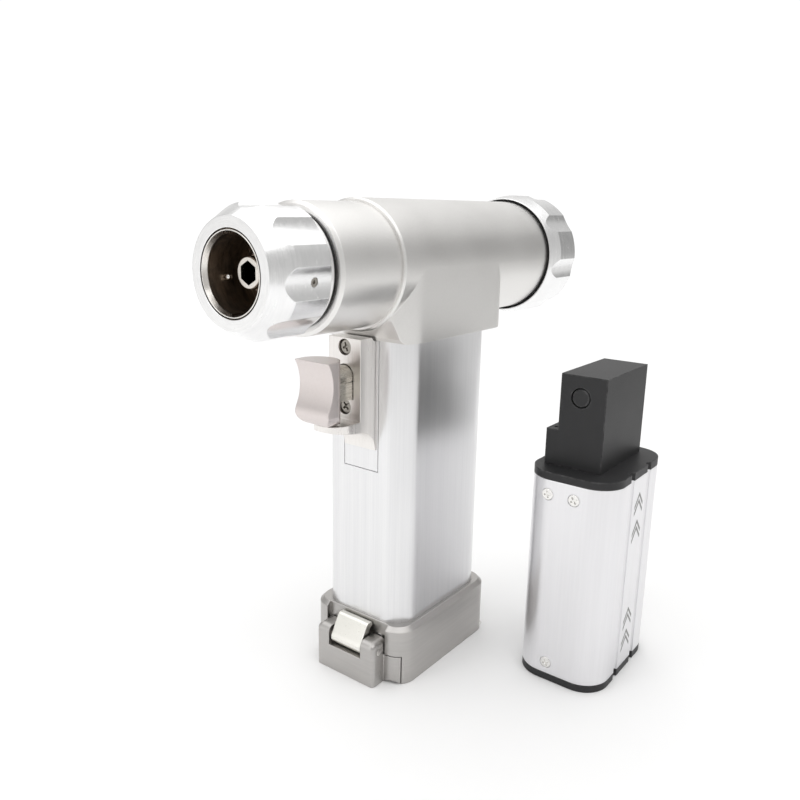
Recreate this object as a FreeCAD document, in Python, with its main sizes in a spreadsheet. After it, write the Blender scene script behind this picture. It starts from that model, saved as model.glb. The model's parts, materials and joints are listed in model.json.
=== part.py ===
import FreeCAD, Part
import Sketcher
import math
import os
from FreeCAD import Vector, Rotation, Placement

# Battery surgical drill: pistol grip, barrel along X, grip along Z.
# Row frame in millimetres: origin at the centre of the base's underside,
# +X towards the coupling mouth, +Y the drill's left side, +Z up.

doc = FreeCAD.newDocument("surgical_drill")
sheet = doc.addObject("Spreadsheet::Sheet", "Sheet")

DIMS = [
    # barrel and its rings
    ("axis_height", 159.0, "barrel axis above the base"),
    ("housing_radius", 23.1, "main housing outside"),
    ("housing_front", 33.2, "front end of the main housing"),
    ("housing_back", -72.4, "rear end of the main housing"),
    ("housing_bore", 18.5, "motor bore"),
    ("housing_counterbore", 20.4, "bore at both ends"),
    ("saddle_back", -36.8, "rear of the saddle"),
    ("saddle_depth", 26.0, "underside of the saddle below the axis"),
    ("saddle_round", 11.0, "vertical corner radius of the saddle"),
    ("sleeve_radius", 21.7, "front sleeve outside"),
    ("sleeve_front", 62.5, "front end of the front sleeve"),
    ("sleeve_tail", 12.0, "rear end of the sleeve inside the housing"),
    ("sleeve_spigot", 17.0, "spigot that carries the coupling ring"),
    ("spigot_front", 70.0, "front end of that spigot"),
    ("gear_bore", 16.8, "bore for the ring gear"),
    ("bearing_bore", 11.0, "bore for the output bearings"),
    ("socket_radius", 13.4, "outside of the coupling socket"),
    ("socket_front", 88.3, "mouth of the coupling socket"),
    ("mouth_bore", 12.0, "locating bore of the mouth"),
    ("mouth_back", 81.6, "rear end of that bore"),
    ("undercut_bore", 12.6, "bore behind it"),
    ("socket_floor", 70.5, "floor of the socket"),
    ("ring_front", 88.4, "front face of the coupling ring"),
    ("ring_back", 63.6, "rear face of the coupling ring"),
    ("ring_radius", 21.0, "coupling ring outside"),
    ("ring_face_radius", 17.0, "flat front face of the ring"),
    ("ring_cone_end", 81.5, "where the cone meets the cylinder"),
    ("ring_bore", 13.46, "running bore on the socket"),
    ("ring_skirt_bore", 17.06, "running bore on the spigot"),
    ("flute_radius", 10.5, "flute cutter of the coupling ring"),
    ("flute_depth", 1.8, "depth of those flutes"),
    ("selector_radius", 26.0, "rear ring outside"),
    ("selector_front", -74.5, "front face of the rear ring"),
    ("selector_back", -89.6, "rear face of the rear ring"),
    ("selector_bore", 15.06, "running bore of the rear ring"),
    ("selector_lip", -67.4, "front edge of the rear ring's skirt"),
    ("selector_skirt_bore", 24.15, "bore of that skirt, over the housing's end"),
    ("ring_collar", 19.1, "plain collar behind the coupling ring's flutes"),
    ("selector_flute_radius", 13.0, "flute cutter of the rear ring"),
    ("selector_flute_depth", 1.0, "depth of those flutes"),
    ("selector_spigot", 15.0, "spigot that carries the rear ring"),
    ("shaft_radius", 5.0, "output shaft"),
    ("shaft_front", 81.2, "front end of the output shaft"),
    ("hex_flats", 6.5, "hexagon socket across flats"),
    ("hex_depth", 10.0, "hexagon socket depth"),
    # grip
    ("grip_half_length", 28.5, "half of the grip along X"),
    ("grip_half_width", 20.0, "half of the grip along Y"),
    ("grip_round", 9.8, "grip corner radius"),
    ("grip_wall", 1.7, "grip wall"),
    ("grip_bottom", 4.4, "lower end of the tube"),
    ("grip_top", 137.0, "upper end of the tube in the saddle"),
    ("panel_half_width", 8.05, "half width of the trigger panel"),
    ("panel_bottom", 83.6, "lower end of the trigger panel"),
    ("panel_thick", 1.2, "trigger panel thickness"),
    # base
    ("base_front", 31.4, "front of the base collar"),
    ("base_back", -30.8, "rear of the base collar"),
    ("base_half_width", 23.2, "half width of the base collar"),
    ("base_round", 8.0, "corner radius of the base collar"),
    ("base_height", 23.5, "height of the base collar"),
    ("base_bevel", 1.7, "polished bevel"),
    ("door_half_width", 20.9, "half width of the door"),
    ("door_thick", 3.4, "door plate thickness"),
    ("door_flange_height", 11.5, "height of the door's front flange"),
    ("door_gap", 0.3, "gap around the door"),
    ("hinge_offset", -26.3, "door hinge along X"),
    ("hinge_height", 2.0, "door hinge above the base"),
    ("block_front", 38.0, "front of the latch block"),
    ("block_half_width", 14.5, "half width of the latch block"),
    ("ear_height", 17.9, "top of the latch block's ears"),
    ("latch_slot", 8.15, "half of the slot between the ears"),
    ("latch_offset", 34.6, "latch pin along X"),
    ("latch_height", 13.6, "latch pin above the base"),
    ("latch_half_width", 7.4, "half width of the latch lever"),
    # trigger
    ("bracket_front", 37.7, "front face of the trigger bracket"),
    ("bracket_half_width", 7.4, "half width of the trigger bracket"),
    ("bracket_top", 134.2, "top of the trigger bracket"),
    ("tongue_top", 104.5, "top of the tongue under the trigger"),
    ("tongue_bottom", 100.4, "underside of that tongue"),
    ("tongue_front", 50.2, "front of that tongue"),
    ("tongue_tip", 102.3, "underside of the tongue at its front"),
    ("stem_half_width", 3.9, "half width of the trigger stem"),
    ("stem_bottom", 112.5, "underside of the stem"),
    ("stem_top", 124.5, "top of the stem"),
    ("stem_gap", 0.25, "gap around the stem"),
    ("stem_back", 25.6, "rear end of the stem"),
    ("cap_back", 44.0, "rear of the trigger cap"),
    ("cap_half_width", 7.8, "half width of the trigger cap"),
    ("cap_bottom", 104.9, "underside of the trigger cap"),
    ("cap_top", 128.0, "top of the trigger cap"),
    # battery pack
    ("pack_offset_long", -36.0, "pack centre along X"),
    ("pack_offset_side", 66.3, "pack centre along Y"),
    ("pack_half_length", 26.5, "half of the pack along X"),
    ("pack_half_width", 17.75, "half of the pack along Y"),
    ("pack_round", 11.0, "corner radius of the pack"),
    ("pack_plate", 3.0, "thickness of the two end plates"),
    ("pack_body", 79.0, "height of the pack's metal body"),
    ("pack_wall", 1.2, "wall of the pack's metal body"),
    ("pack_groove", 1.7, "radius of the side grooves"),
    ("pack_groove_offset", 8.15, "side grooves from the middle"),
    ("pack_block", 35.8, "height of the contact block"),
    ("pack_button_radius", 3.45, "release button"),
    # gears
    ("gear_module", 0.5, "tooth module"),
    ("gear_face", 6.2, "planet face width"),
    ("planet_orbit", 9.0, "planet centres from the axis"),
    ("planet_pin", 1.5, "planet pin radius"),
    ("rotor_radius", 3.0, "motor shaft radius"),
]


class Size:
    """A number together with the sheet expression that drives it."""

    def __init__(self, value, text):
        self.value = float(value)
        self.text = text

    @staticmethod
    def of(other):
        return other if isinstance(other, Size) else Size(other, "(%.6f)" % other)

    def __add__(self, other):
        other = Size.of(other)
        return Size(self.value + other.value, "(%s + %s)" % (self.text, other.text))

    def __radd__(self, other):
        return Size.of(other) + self

    def __sub__(self, other):
        other = Size.of(other)
        return Size(self.value - other.value, "(%s - %s)" % (self.text, other.text))

    def __rsub__(self, other):
        return Size.of(other) - self

    def __mul__(self, other):
        other = Size.of(other)
        return Size(self.value * other.value, "(%s * %s)" % (self.text, other.text))

    def __rmul__(self, other):
        return Size.of(other) * self

    def __neg__(self):
        return Size(-self.value, "(0 - %s)" % self.text)


D = {}
for row, (alias, number, note) in enumerate(DIMS, 1):
    sheet.set("A%d" % row, note)
    sheet.set("B%d" % row, "%.4f" % number)
    sheet.setAlias("B%d" % row, alias)
    D[alias] = Size(number, "Sheet." + alias)
doc.recompute()


def num(q):
    return q.value if isinstance(q, Size) else float(q)


def drive(obj, prop, q):
    setattr(obj, prop, num(q))
    if isinstance(q, Size):
        obj.setExpression(prop, q.text)


def place(obj, px=0, py=0, pz=0):
    obj.Placement = Placement(Vector(num(px), num(py), num(pz)), Rotation())
    for axis_name, q in (("x", px), ("y", py), ("z", pz)):
        if isinstance(q, Size):
            obj.setExpression("Placement.Base." + axis_name, q.text)


# ---- sketches and features -------------------------------------------------

def new_body(label, px=0, py=0, pz=0):
    b = doc.addObject("PartDesign::Body", label)
    b.Label = label
    place(b, px, py, pz)
    return b


def plane_of(b, role):
    for f in b.Origin.OriginFeatures:
        if f.Role == role:
            return f
    raise ValueError(role)


def new_sketch(b, role, offset=0):
    sk = b.newObject("Sketcher::SketchObject", b.Name + "_sketch")
    sk.AttachmentSupport = [(plane_of(b, role), "")]
    sk.MapMode = "FlatFace"
    sk.AttachmentOffset = Placement(Vector(0, 0, num(offset)), Rotation())
    if isinstance(offset, Size):
        sk.setExpression("AttachmentOffset.Base.z", offset.text)
    return sk


def pin_point(sk, geo, pos, u, w):
    for kind, q in (("DistanceX", u), ("DistanceY", w)):
        i = sk.addConstraint(Sketcher.Constraint(kind, -1, 1, geo, pos, num(q)))
        if isinstance(q, Size):
            sk.setExpression("Constraints[%d]" % i, q.text)


def loop(sk, path):
    """Closed outline. A pair is a corner; a triple (r, cu, cw) between two
    corners is an arc of radius r about (cu, cw)."""
    corners, arcs = [], {}
    for item in path:
        if len(item) == 2:
            corners.append(item)
        else:
            arcs[len(corners) - 1] = item
    n = len(corners)
    for i in range(n):
        a, b = corners[i], corners[(i + 1) % n]
        pa = Vector(num(a[0]), num(a[1]), 0)
        pb = Vector(num(b[0]), num(b[1]), 0)
        if i in arcs:
            r, cu, cw = arcs[i]
            c = Vector(num(cu), num(cw), 0)
            first = 1 if (pa - c).cross(pb - c).z > 0 else 2
            start, end = (pa, pb) if first == 1 else (pb, pa)
            t0 = math.atan2(start.y - c.y, start.x - c.x)
            t1 = math.atan2(end.y - c.y, end.x - c.x)
            if t1 < t0:
                t1 += 2 * math.pi
            g = sk.addGeometry(Part.ArcOfCircle(Part.Circle(c, Vector(0, 0, 1), num(r)), t0, t1), False)
            pin_point(sk, g, first, a[0], a[1])
            pin_point(sk, g, 3 - first, b[0], b[1])
            k = sk.addConstraint(Sketcher.Constraint("Radius", g, num(r)))
            if isinstance(r, Size):
                sk.setExpression("Constraints[%d]" % k, r.text)
        else:
            g = sk.addGeometry(Part.LineSegment(pa, pb), False)
            pin_point(sk, g, 1, a[0], a[1])
            pin_point(sk, g, 2, b[0], b[1])


def ring(sk, cu, cw, r):
    g = sk.addGeometry(Part.Circle(Vector(num(cu), num(cw), 0), Vector(0, 0, 1), num(r)), False)
    pin_point(sk, g, 3, cu, cw)
    k = sk.addConstraint(Sketcher.Constraint("Radius", g, num(r)))
    if isinstance(r, Size):
        sk.setExpression("Constraints[%d]" % k, r.text)


def rect(sk, u0, u1, w0, w1):
    loop(sk, [(u0, w0), (u1, w0), (u1, w1), (u0, w1)])


def rounded(sk, u0, u1, w0, w1, r):
    loop(sk, [(u0 + r, w0), (u1 - r, w0), (r, u1 - r, w0 + r),
              (u1, w0 + r), (u1, w1 - r), (r, u1 - r, w1 - r),
              (u1 - r, w1), (u0 + r, w1), (r, u0 + r, w1 - r),
              (u0, w1 - r), (u0, w0 + r), (r, u0 + r, w0 + r)])


def volume(b):
    doc.recompute()
    return b.Shape.Volume if not b.Shape.isNull() else 0.0


def feature(b, kind, sk, length=None, reverse=False, grows=None):
    before = volume(b) if b.Tip is not None and b.Tip.isDerivedFrom("PartDesign::Feature") else 0.0
    f = b.newObject("PartDesign::" + kind, b.Name + "_" + kind.lower())
    f.Profile = sk
    if kind in ("Revolution", "Groove"):
        f.ReferenceAxis = (sk, ["H_Axis"])
        f.Angle = 360.0
    else:
        drive(f, "Length", length)
        f.Reversed = reverse
    after = volume(b)
    if grows is None:
        grows = kind in ("Pad", "Revolution")
    if (after > before) != grows or abs(after - before) < 1e-6:
        raise RuntimeError("%s: %s changed the volume from %.3f to %.3f" % (b.Label, kind, before, after))
    return f


def edge_names(f, test):
    return ["Edge%d" % (i + 1) for i, e in enumerate(f.Shape.Edges) if test(e)]


def soften(b, f, kind, size, test):
    names = edge_names(f, test)
    if not names:
        raise RuntimeError("%s: no edge to soften" % b.Label)
    g = b.newObject("PartDesign::" + kind, b.Name + "_" + kind.lower())
    g.Base = (f, names)
    drive(g, "Radius" if kind == "Fillet" else "Size", size)
    doc.recompute()
    if g.Shape.isNull() or not g.Shape.isValid():
        raise RuntimeError("%s: %s failed" % (b.Label, kind))
    return g


def turned(label, path, px=0, py=0, pz=None):
    """A piece turned about the barrel axis; the path is (x, radius)."""
    b = new_body(label, px, py, D["axis_height"] if pz is None else pz)
    sk = new_sketch(b, "XZ_Plane")
    loop(sk, path)
    feature(b, "Revolution", sk)
    return b


def across(b, u0u1_path, half, kind="Pad"):
    """Profile in XZ, made symmetric about y = 0 over -half..half."""
    sk = new_sketch(b, "XZ_Plane", -half if isinstance(half, Size) else -half)
    loop(sk, u0u1_path)
    if kind == "Pad":
        return feature(b, "Pad", sk, 2 * half)
    return feature(b, "Pocket", sk, 2 * half, True)


def solid_feature(label, shape, px=0, py=0, pz=0):
    f = doc.addObject("Part::Feature", label)
    f.Label = label
    f.Shape = shape
    f.Placement = Placement(Vector(num(px), num(py), num(pz)), Rotation()).multiply(shape.Placement)
    return f


def cyl(r, length, base, direction=Vector(1, 0, 0)):
    return Part.makeCylinder(r, length, base, direction)


def box(x0, x1, y0, y1, z0, z1):
    return Part.makeBox(x1 - x0, y1 - y0, z1 - z0, Vector(x0, y0, z0))


def upright(e):
    """True for a straight edge along Z."""
    if not isinstance(e.Curve, Part.Line):
        return False
    a, c = e.Vertexes[0].Point, e.Vertexes[-1].Point
    return abs(a.x - c.x) < 1e-6 and abs(a.y - c.y) < 1e-6


H = D["axis_height"]
AXIS = H.value
CYCLE = Rotation(Vector(1, 1, 1), 120)      # takes Z to X, X to Y and Y to Z

# ---- barrel ----------------------------------------------------------------

# Main housing: the saddle over the grip, the barrel, then the stepped bore.
b = new_body("barrel_housing", 0, 0, H)
sk = new_sketch(b, "XY_Plane", -D["saddle_depth"])
rounded(sk, D["saddle_back"], D["housing_front"], -D["housing_radius"], D["housing_radius"], D["saddle_round"])
feature(b, "Pad", sk, D["saddle_depth"])
across(b, [(-60.0, -27.0), (-29.6, -27.0), (-29.6, -26.0), (-31.6, -25.4), (-33.4, -22.6),
           (-35.6, -16.0), (-37.5, -6.0), (-60.0, -6.0)], Size(30.0, "(30)"), "Pocket")
across(b, [(60.0, -27.0), (29.4, -27.0), (29.4, -26.0), (30.6, -24.6), (32.2, -18.0), (33.3, -8.0),
           (60.0, -8.0)], Size(30.0, "(30)"), "Pocket")
sk = new_sketch(b, "XZ_Plane")
loop(sk, [(D["housing_back"], 0), (D["housing_front"], 0), (D["housing_front"], D["housing_radius"] - 0.6),
          (D["housing_front"] - 0.6, D["housing_radius"]), (D["housing_back"] + 0.5, D["housing_radius"]),
          (D["housing_back"], D["housing_radius"] - 0.5)])
feature(b, "Revolution", sk)
sk = new_sketch(b, "XZ_Plane")
loop(sk, [(-90.0, 0), (60.0, 0), (60.0, D["housing_counterbore"]), (D["sleeve_tail"], D["housing_counterbore"]),
          (D["sleeve_tail"], D["housing_bore"]), (-66.0, D["housing_bore"]), (-66.0, D["housing_counterbore"]),
          (-90.0, D["housing_counterbore"])])
feature(b, "Groove", sk)
sk = new_sketch(b, "XY_Plane", -D["saddle_depth"])
rounded(sk, -D["grip_half_length"], D["grip_half_length"], -D["grip_half_width"], D["grip_half_width"], D["grip_round"])
feature(b, "Pocket", sk, D["grip_top"] - H + D["saddle_depth"], True)
sk = new_sketch(b, "XY_Plane", D["grip_top"] - H)
rect(sk, -23.0, 23.0, -13.0, 13.0)
f = feature(b, "Pocket", sk, 8.0, True)

# Front sleeve: carries the gearbox, the output bearings, the coupling socket
# and, on its spigot, the coupling ring.
turned("front_sleeve", [
    (D["sleeve_tail"], D["gear_bore"]), (28.0, D["gear_bore"]), (28.0, D["bearing_bore"]), (59.0, D["bearing_bore"]),
    (59.0, D["socket_radius"]), (D["spigot_front"], D["socket_radius"]), (D["spigot_front"], D["sleeve_spigot"] - 0.4),
    (D["spigot_front"] - 0.4, D["sleeve_spigot"]), (D["sleeve_front"], D["sleeve_spigot"]),
    (D["sleeve_front"], D["sleeve_radius"] - 1.1), (D["sleeve_front"] - 0.9, D["sleeve_radius"]),
    (D["housing_front"], D["sleeve_radius"]), (D["housing_front"], D["housing_counterbore"]),
    (D["sleeve_tail"], D["housing_counterbore"])])

turned("front_gap_seal", [(62.5, 17.0), (63.3, 17.0), (63.3, 18.8), (62.5, 18.8)])

# Coupling socket: bright chamfered lip, locating bore, undercut, floor.
b = turned("coupling_socket", [
    (59.0, 7.6), (D["socket_floor"], 7.6), (D["socket_floor"], D["undercut_bore"]),
    (D["mouth_back"], D["undercut_bore"]), (D["mouth_back"], D["mouth_bore"]), (D["socket_front"] - 1.6, D["mouth_bore"]),
    (D["socket_front"], D["socket_radius"] - 0.75), (D["socket_front"], D["socket_radius"] - 0.5),
    (D["socket_front"] - 0.1, D["socket_radius"] - 0.4), (D["socket_front"] - 2.1, D["socket_radius"] - 0.4),
    (D["socket_front"] - 2.1, D["socket_radius"]), (59.0, D["socket_radius"])])
# bayonet keyway opposite the locating pin: two slots through the lip
sk = new_sketch(b, "YZ_Plane", D["mouth_back"] - 0.5)
loop(sk, [(-1.5, 11.0), (1.5, 11.0), (1.5, 12.6), (-1.5, 12.6)])
loop(sk, [(-1.5, -12.6), (1.5, -12.6), (1.5, -11.0), (-1.5, -11.0)])
feature(b, "Pocket", sk, 8.0, True)
# locating pin in the wall, pressed in
pin_angle = math.radians(190.0)
pin_dir = Vector(0, math.cos(pin_angle), math.sin(pin_angle))
tip = Vector(79.6, 0, 0) + pin_dir * 10.9
solid_feature("locating_pin", cyl(1.2, 2.5, tip, pin_dir).fuse(Part.makeSphere(1.2, tip)).removeSplitter(), 0, 0, H)

# Coupling ring with eight flutes and a set screw.
b = turned("coupling_ring", [
    (D["ring_front"], D["ring_bore"] + 0.1), (D["ring_front"], D["ring_face_radius"]),
    (D["ring_cone_end"], D["ring_radius"] - 0.15), (D["ring_cone_end"] - 0.6, D["ring_radius"]),
    (D["ring_back"] + 3.3, D["ring_radius"]), (D["ring_back"] + 1.4, D["ring_collar"]),
    (D["ring_back"] + 0.2, D["ring_collar"]), (D["ring_back"], D["ring_collar"] - 0.2),
    (D["ring_back"], D["ring_skirt_bore"]), (71.0, D["ring_skirt_bore"]), (71.0, 17.4), (79.0, 17.4),
    (79.0, D["ring_bore"]), (D["ring_front"] - 0.1, D["ring_bore"])])
sk = new_sketch(b, "YZ_Plane", D["ring_back"] - 1)
for k in range(8):
    a = math.radians(-6 + 45 * k)
    reach = D["ring_radius"] - D["flute_depth"] + D["flute_radius"]
    ring(sk, reach * math.cos(a), reach * math.sin(a), D["flute_radius"])
feature(b, "Pocket", sk, 30.0, True)
# radial hole of the set screw
sk = new_sketch(b, "XZ_Plane")
sk.AttachmentOffset = Placement(Vector(0, 0, 0), Rotation(Vector(1, 0, 0), -6))
ring(sk, 72.4, 0.0, 1.5)
feature(b, "Pocket", sk, 26.0)
screw_dir = Vector(0, math.cos(math.radians(-6)), math.sin(math.radians(-6)))
seat = Vector(72.4, 0, 0) + screw_dir * 17.6
grub = cyl(1.45, 1.35, seat, screw_dir)
grub = grub.cut(cyl(0.62, 0.8, seat + screw_dir * 0.7, screw_dir))
solid_feature("ring_set_screw", grub, 0, 0, H)

# Return spring of the coupling ring: a flat-wound torsion spring.
helix = Part.makeHelix(1.35, 5.4, 15.3)
coil = Part.Wire(helix.Edges)
section = Part.Wire([Part.makeCircle(0.5, Vector(15.3, 0, 0), Vector(0, 1, 0))])
spring = coil.makePipeShell([section], True, True)
spring.Placement = Placement(Vector(72.2, 0, 0), CYCLE)
solid_feature("ring_return_spring", spring, 0, 0, H)

# ---- output train ----------------------------------------------------------

b = turned("output_shaft", [(27.5, 0), (D["shaft_front"], 0), (D["shaft_front"], D["shaft_radius"] - 0.35),
                            (D["shaft_front"] - 0.35, D["shaft_radius"]), (27.5, D["shaft_radius"])])
sk = new_sketch(b, "YZ_Plane", D["shaft_front"])
half = D["hex_flats"] * 0.5
side = D["hex_flats"] * (1.0 / math.sqrt(3.0))
loop(sk, [(0.0, side), (-half, side * 0.5), (-half, -side * 0.5), (0.0, -side), (half, -side * 0.5), (half, side * 0.5)])
feature(b, "Pocket", sk, D["hex_depth"])

turned("drive_collar", [(70.8, 5.0), (75.8, 5.0), (75.8, 6.3), (75.1, 7.0), (70.8, 7.0)])
turned("planet_carrier", [(23.2, 0), (27.5, 0), (27.5, 12.0), (27.0, 12.5), (23.2, 12.5)])


def gear_outline(teeth, module, root, tip_r, shift):
    """Outline of involute teeth about Z; shift widens each flank in mm."""
    pressure = math.radians(20)
    pitch_r = module * teeth / 2.0
    base_r = pitch_r * math.cos(pressure)
    inv = lambda a: math.tan(a) - a
    half_pitch = math.pi / (2 * teeth) + shift / pitch_r

    def spread(r):
        a = math.acos(min(1.0, base_r / r))
        return half_pitch + inv(pressure) - inv(a)

    pts = []
    radii = [max(base_r, root) + (tip_r - max(base_r, root)) * i / 5.0 for i in range(6)]
    for k in range(teeth):
        c = 2 * math.pi * k / teeth
        flank = [(r, spread(r)) for r in radii]
        if root < base_r:
            flank.insert(0, (root, spread(base_r)))
        for r, s in flank:
            pts.append(Vector(r * math.cos(c - s), r * math.sin(c - s), 0))
        for r, s in reversed(flank):
            pts.append(Vector(r * math.cos(c + s), r * math.sin(c + s), 0))
    pts.append(pts[0])
    return Part.Face(Part.Wire(Part.makePolygon(pts)))


MOD = D["gear_module"].value
FACE = D["gear_face"].value
ORBIT = D["planet_orbit"].value
PIN = D["planet_pin"].value
BACKLASH = -0.045

pins = []
for k in range(3):
    a = math.radians(120 * k)
    pins.append(cyl(PIN, 7.6, Vector(15.6, ORBIT * math.cos(a), ORBIT * math.sin(a))))
solid_feature("planet_pins", Part.makeCompound(pins), 0, 0, H)
for k in range(3):
    gear = gear_outline(18, MOD, 4.5 - 1.25 * MOD, 4.5 + MOD, BACKLASH).extrude(Vector(0, 0, FACE))
    gear = gear.cut(Part.makeCylinder(PIN + 0.05, FACE + 2, Vector(0, 0, -1)))
    gear.rotate(Vector(0, 0, 0), Vector(0, 0, 1), 10)
    gear.translate(Vector(ORBIT, 0, 0))
    gear.rotate(Vector(0, 0, 0), Vector(0, 0, 1), 120 * k)
    gear.Placement = Placement(Vector(16.2, 0, 0), CYCLE).multiply(gear.Placement)
    solid_feature("planet_gear_%d" % (k + 1), gear, 0, 0, H)

blank = Part.makeCylinder(D["gear_bore"].value, 9.0).cut(
    gear_outline(54, MOD, 13.05, 14.15, 0.045).extrude(Vector(0, 0, 9.0)))
blank.rotate(Vector(0, 0, 0), Vector(0, 0, 1), 180.0 / 54)
blank.Placement = Placement(Vector(14.2, 0, 0), CYCLE).multiply(blank.Placement)
solid_feature("ring_gear", blank, 0, 0, H)

sun = gear_outline(18, MOD, 4.5 - 1.25 * MOD, 4.5 + MOD, BACKLASH).extrude(Vector(0, 0, 7.2))
sun.Placement = Placement(Vector(15.4, 0, 0), CYCLE).multiply(sun.Placement)
rotor = cyl(D["rotor_radius"].value, 69.4, Vector(-54, 0, 0)).fuse(sun).removeSplitter()
solid_feature("rotor_shaft", rotor, 0, 0, H)
turned("rotor_magnet", [(-40.0, D["rotor_radius"]), (-12.0, D["rotor_radius"]), (-12.0, 8.6), (-40.0, 8.6)])
turned("gearbox_plate", [(12.0, 5.8), (14.2, 5.8), (14.2, D["gear_bore"]), (12.0, D["gear_bore"])])


def bearing_pair(make):
    return Part.makeCompound([make(30.0), make(53.0)])


def race(x, inner, outer):
    return cyl(outer, 6.0, Vector(x, 0, 0)).cut(cyl(inner, 8.0, Vector(x - 1, 0, 0)))


def rollers(x):
    parts = [race(x, 5.0, 6.62)]
    for k in range(9):
        a = math.radians(40 * k)
        parts.append(Part.makeSphere(1.38, Vector(x + 3, 8.0 * math.cos(a), 8.0 * math.sin(a))))
    return Part.makeCompound(parts)


solid_feature("bearing_outer_races", bearing_pair(lambda x: race(x, 9.45, 11.0)), 0, 0, H)
solid_feature("bearing_inner_races", bearing_pair(rollers), 0, 0, H)

# ---- motor -----------------------------------------------------------------

turned("motor_can", [(-48.0, 16.5), (2.0, 16.5), (2.0, 8.0), (6.0, 8.0), (6.0, D["housing_bore"] - 1),
                     (5.0, D["housing_bore"]), (-48.0, D["housing_bore"])])
turned("motor_end_bell", [(-52.0, 6.0), (-48.0, 6.0), (-48.0, D["housing_bore"]), (-52.0, D["housing_bore"])])
bushes = Part.makeCompound([
    cyl(8.0, 4.0, Vector(2, 0, 0)).cut(cyl(D["rotor_radius"].value + 0.05, 6, Vector(1, 0, 0))),
    cyl(6.0, 4.0, Vector(-52, 0, 0)).cut(cyl(D["rotor_radius"].value + 0.05, 6, Vector(-53, 0, 0)))])
solid_feature("motor_bushes", bushes, 0, 0, H)
core = cyl(16.5, 28.0, Vector(-40, 0, 0)).cut(cyl(9.0, 30.0, Vector(-41, 0, 0)))
slots = []
for k in range(9):
    slot = box(-41, -11, 9.8, 14.6, -1.5, 1.5).fuse(box(-41, -11, 8.5, 10.2, -0.5, 0.5))
    slot.rotate(Vector(0, 0, 0), Vector(1, 0, 0), 40 * k)
    slots.append(slot)
solid_feature("stator", core.cut(slots), 0, 0, H)
ends = []
for x0 in (-44.6, -12.0):
    ends.append(cyl(15.4, 4.6, Vector(x0, 0, 0)).cut(cyl(10.2, 6.0, Vector(x0 - 0.5, 0, 0))))
solid_feature("stator_windings", Part.makeCompound(ends), 0, 0, H)

# ---- rear end --------------------------------------------------------------

turned("rear_spigot", [
    (-66.0, 0), (-66.0, D["housing_counterbore"]), (D["housing_back"], D["housing_counterbore"]),
    (D["housing_back"], D["selector_spigot"]), (-84.0, D["selector_spigot"]), (-84.0, 12.5), (-70.0, 12.5), (-70.0, 0)])
# dark seal: a flange behind the housing and a lip that fills the gap under
# the rear ring's skirt
turned("rear_gap_seal", [(D["housing_back"], D["selector_spigot"]), (D["housing_back"], D["housing_radius"] + 0.05),
                         (-68.6, D["housing_radius"] + 0.05), (-68.6, 24.0), (-74.15, 24.0),
                         (-74.15, D["selector_spigot"])])
clip = cyl(16.9, 1.1, Vector(-83.5, 0, 0)).cut(cyl(15.0, 2.0, Vector(-84, 0, 0))).cut(box(-84.5, -82, -2.4, 2.4, -18, 0))
solid_feature("selector_circlip", clip, 0, 0, H)
b = turned("selector_ring", [
    (D["selector_front"], 17.0), (D["selector_front"], D["selector_skirt_bore"]),
    (D["selector_lip"], D["selector_skirt_bore"]), (D["selector_lip"], D["selector_skirt_bore"] + 0.4),
    (-74.9, D["selector_radius"]), (D["selector_back"] + 0.9, D["selector_radius"]),
    (D["selector_back"], D["selector_radius"] - 0.9), (D["selector_back"], 20.5), (-86.4, 20.5), (-86.4, 18.0),
    (-82.0, 18.0), (-82.0, D["selector_bore"]), (-78.0, D["selector_bore"]), (-78.0, 17.0)])
sk = new_sketch(b, "YZ_Plane", D["selector_back"] - 1)
for k in range(8):
    a = math.radians(-11.3 + 45 * k)
    reach = D["selector_radius"] - D["selector_flute_depth"] + D["selector_flute_radius"]
    ring(sk, reach * math.cos(a), reach * math.sin(a), D["selector_flute_radius"])
feature(b, "Pocket", sk, 25.0, True)
turned("rear_cap", [(-86.4, 0), (-86.4, 20.5), (-88.6, 20.5), (-89.2, 19.8), (-89.2, 15.0), (-88.8, 14.6),
                    (-88.8, 13.4), (-89.2, 13.0), (-89.2, 0)])

# control board behind the motor, carried in the housing bore
board = cyl(D["housing_bore"].value, 1.6, Vector(-60.0, 0, 0))
parts_on_board = [box(-58.4, -55.6, -9, -3, 3, 9), box(-58.4, -56.4, 4, 10, -2, 3), box(-58.4, -55.9, -3, 3, -10, -5),
                  cyl(2.2, 3.4, Vector(-63.4, 7, 6)), cyl(2.2, 3.4, Vector(-63.4, -7, 6)), box(-62.2, -60, -4, 4, -9, -4)]
for extra in parts_on_board:
    board = board.fuse(extra)
solid_feature("control_board", board.cut(cyl(3.6, 8, Vector(-62, 0, 0))), 0, 0, H)

# ---- grip ------------------------------------------------------------------

GL, GW, GR, WALL = D["grip_half_length"], D["grip_half_width"], D["grip_round"], D["grip_wall"]
b = new_body("handle_tube")
sk = new_sketch(b, "XY_Plane", D["grip_bottom"])
rounded(sk, -GL, GL, -GW, GW, GR)
feature(b, "Pad", sk, D["grip_top"] - D["grip_bottom"])
sk = new_sketch(b, "XY_Plane", D["grip_bottom"])
rounded(sk, -(GL - WALL), GL - WALL, -(GW - WALL), GW - WALL, GR - WALL)
feature(b, "Pocket", sk, D["grip_top"] - D["grip_bottom"], True)
sk = new_sketch(b, "YZ_Plane", GL + 1)
rect(sk, -(D["panel_half_width"] + 0.25), D["panel_half_width"] + 0.25, D["panel_bottom"] - 0.25, 133.2)
feature(b, "Pocket", sk, D["panel_thick"] + 1)


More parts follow.
